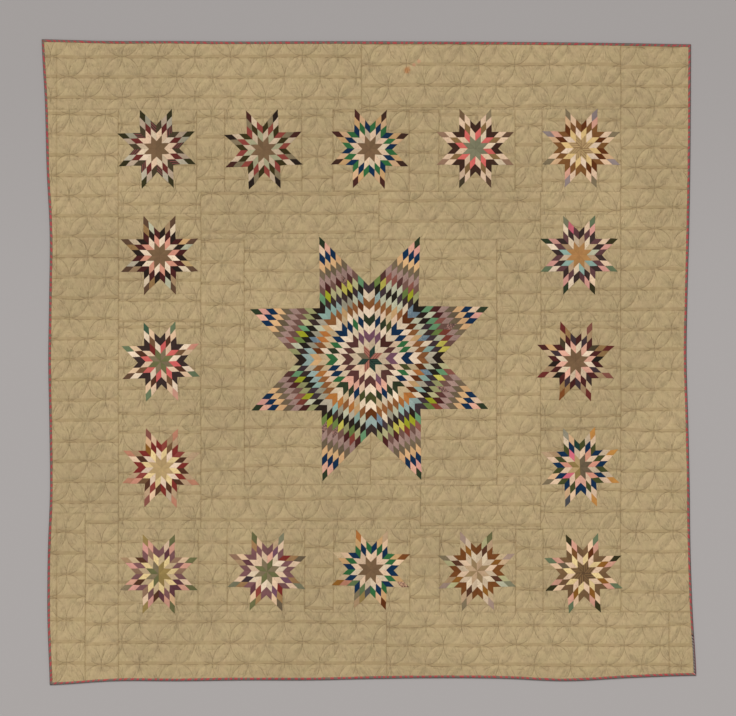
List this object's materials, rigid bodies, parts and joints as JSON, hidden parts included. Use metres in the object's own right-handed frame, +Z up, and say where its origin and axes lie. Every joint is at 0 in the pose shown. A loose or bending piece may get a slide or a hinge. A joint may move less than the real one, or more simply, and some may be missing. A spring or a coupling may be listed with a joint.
{
  "type": "star quilt blanket",
  "caption": "Hand-pieced cotton quilt lying flat: a large pieced star in a ring of small stars on a tan ground, quilted in overlapping circles, with a narrow bound edge",
  "frame": {"origin": "on the surface the quilt lies on, under the middle of its outline", "axes": "+Z up out of the quilt's face, +X across it to its right edge, +Y up its length to its top edge"},
  "size_m": [2.362, 2.33, 0.0054],
  "materials": {
    "tan_ground": "matte",
    "printed_binding": "matte",
    "mended_binding": "matte"
  },
  "bodies": {
    "root": {"quilt_body": "tan_ground", "binding_top": "printed_binding", "binding_left": "printed_binding", "binding_bottom": "printed_binding", "binding_right": "printed_binding", "binding_mend": "mended_binding"}
  },
  "joints": []
}
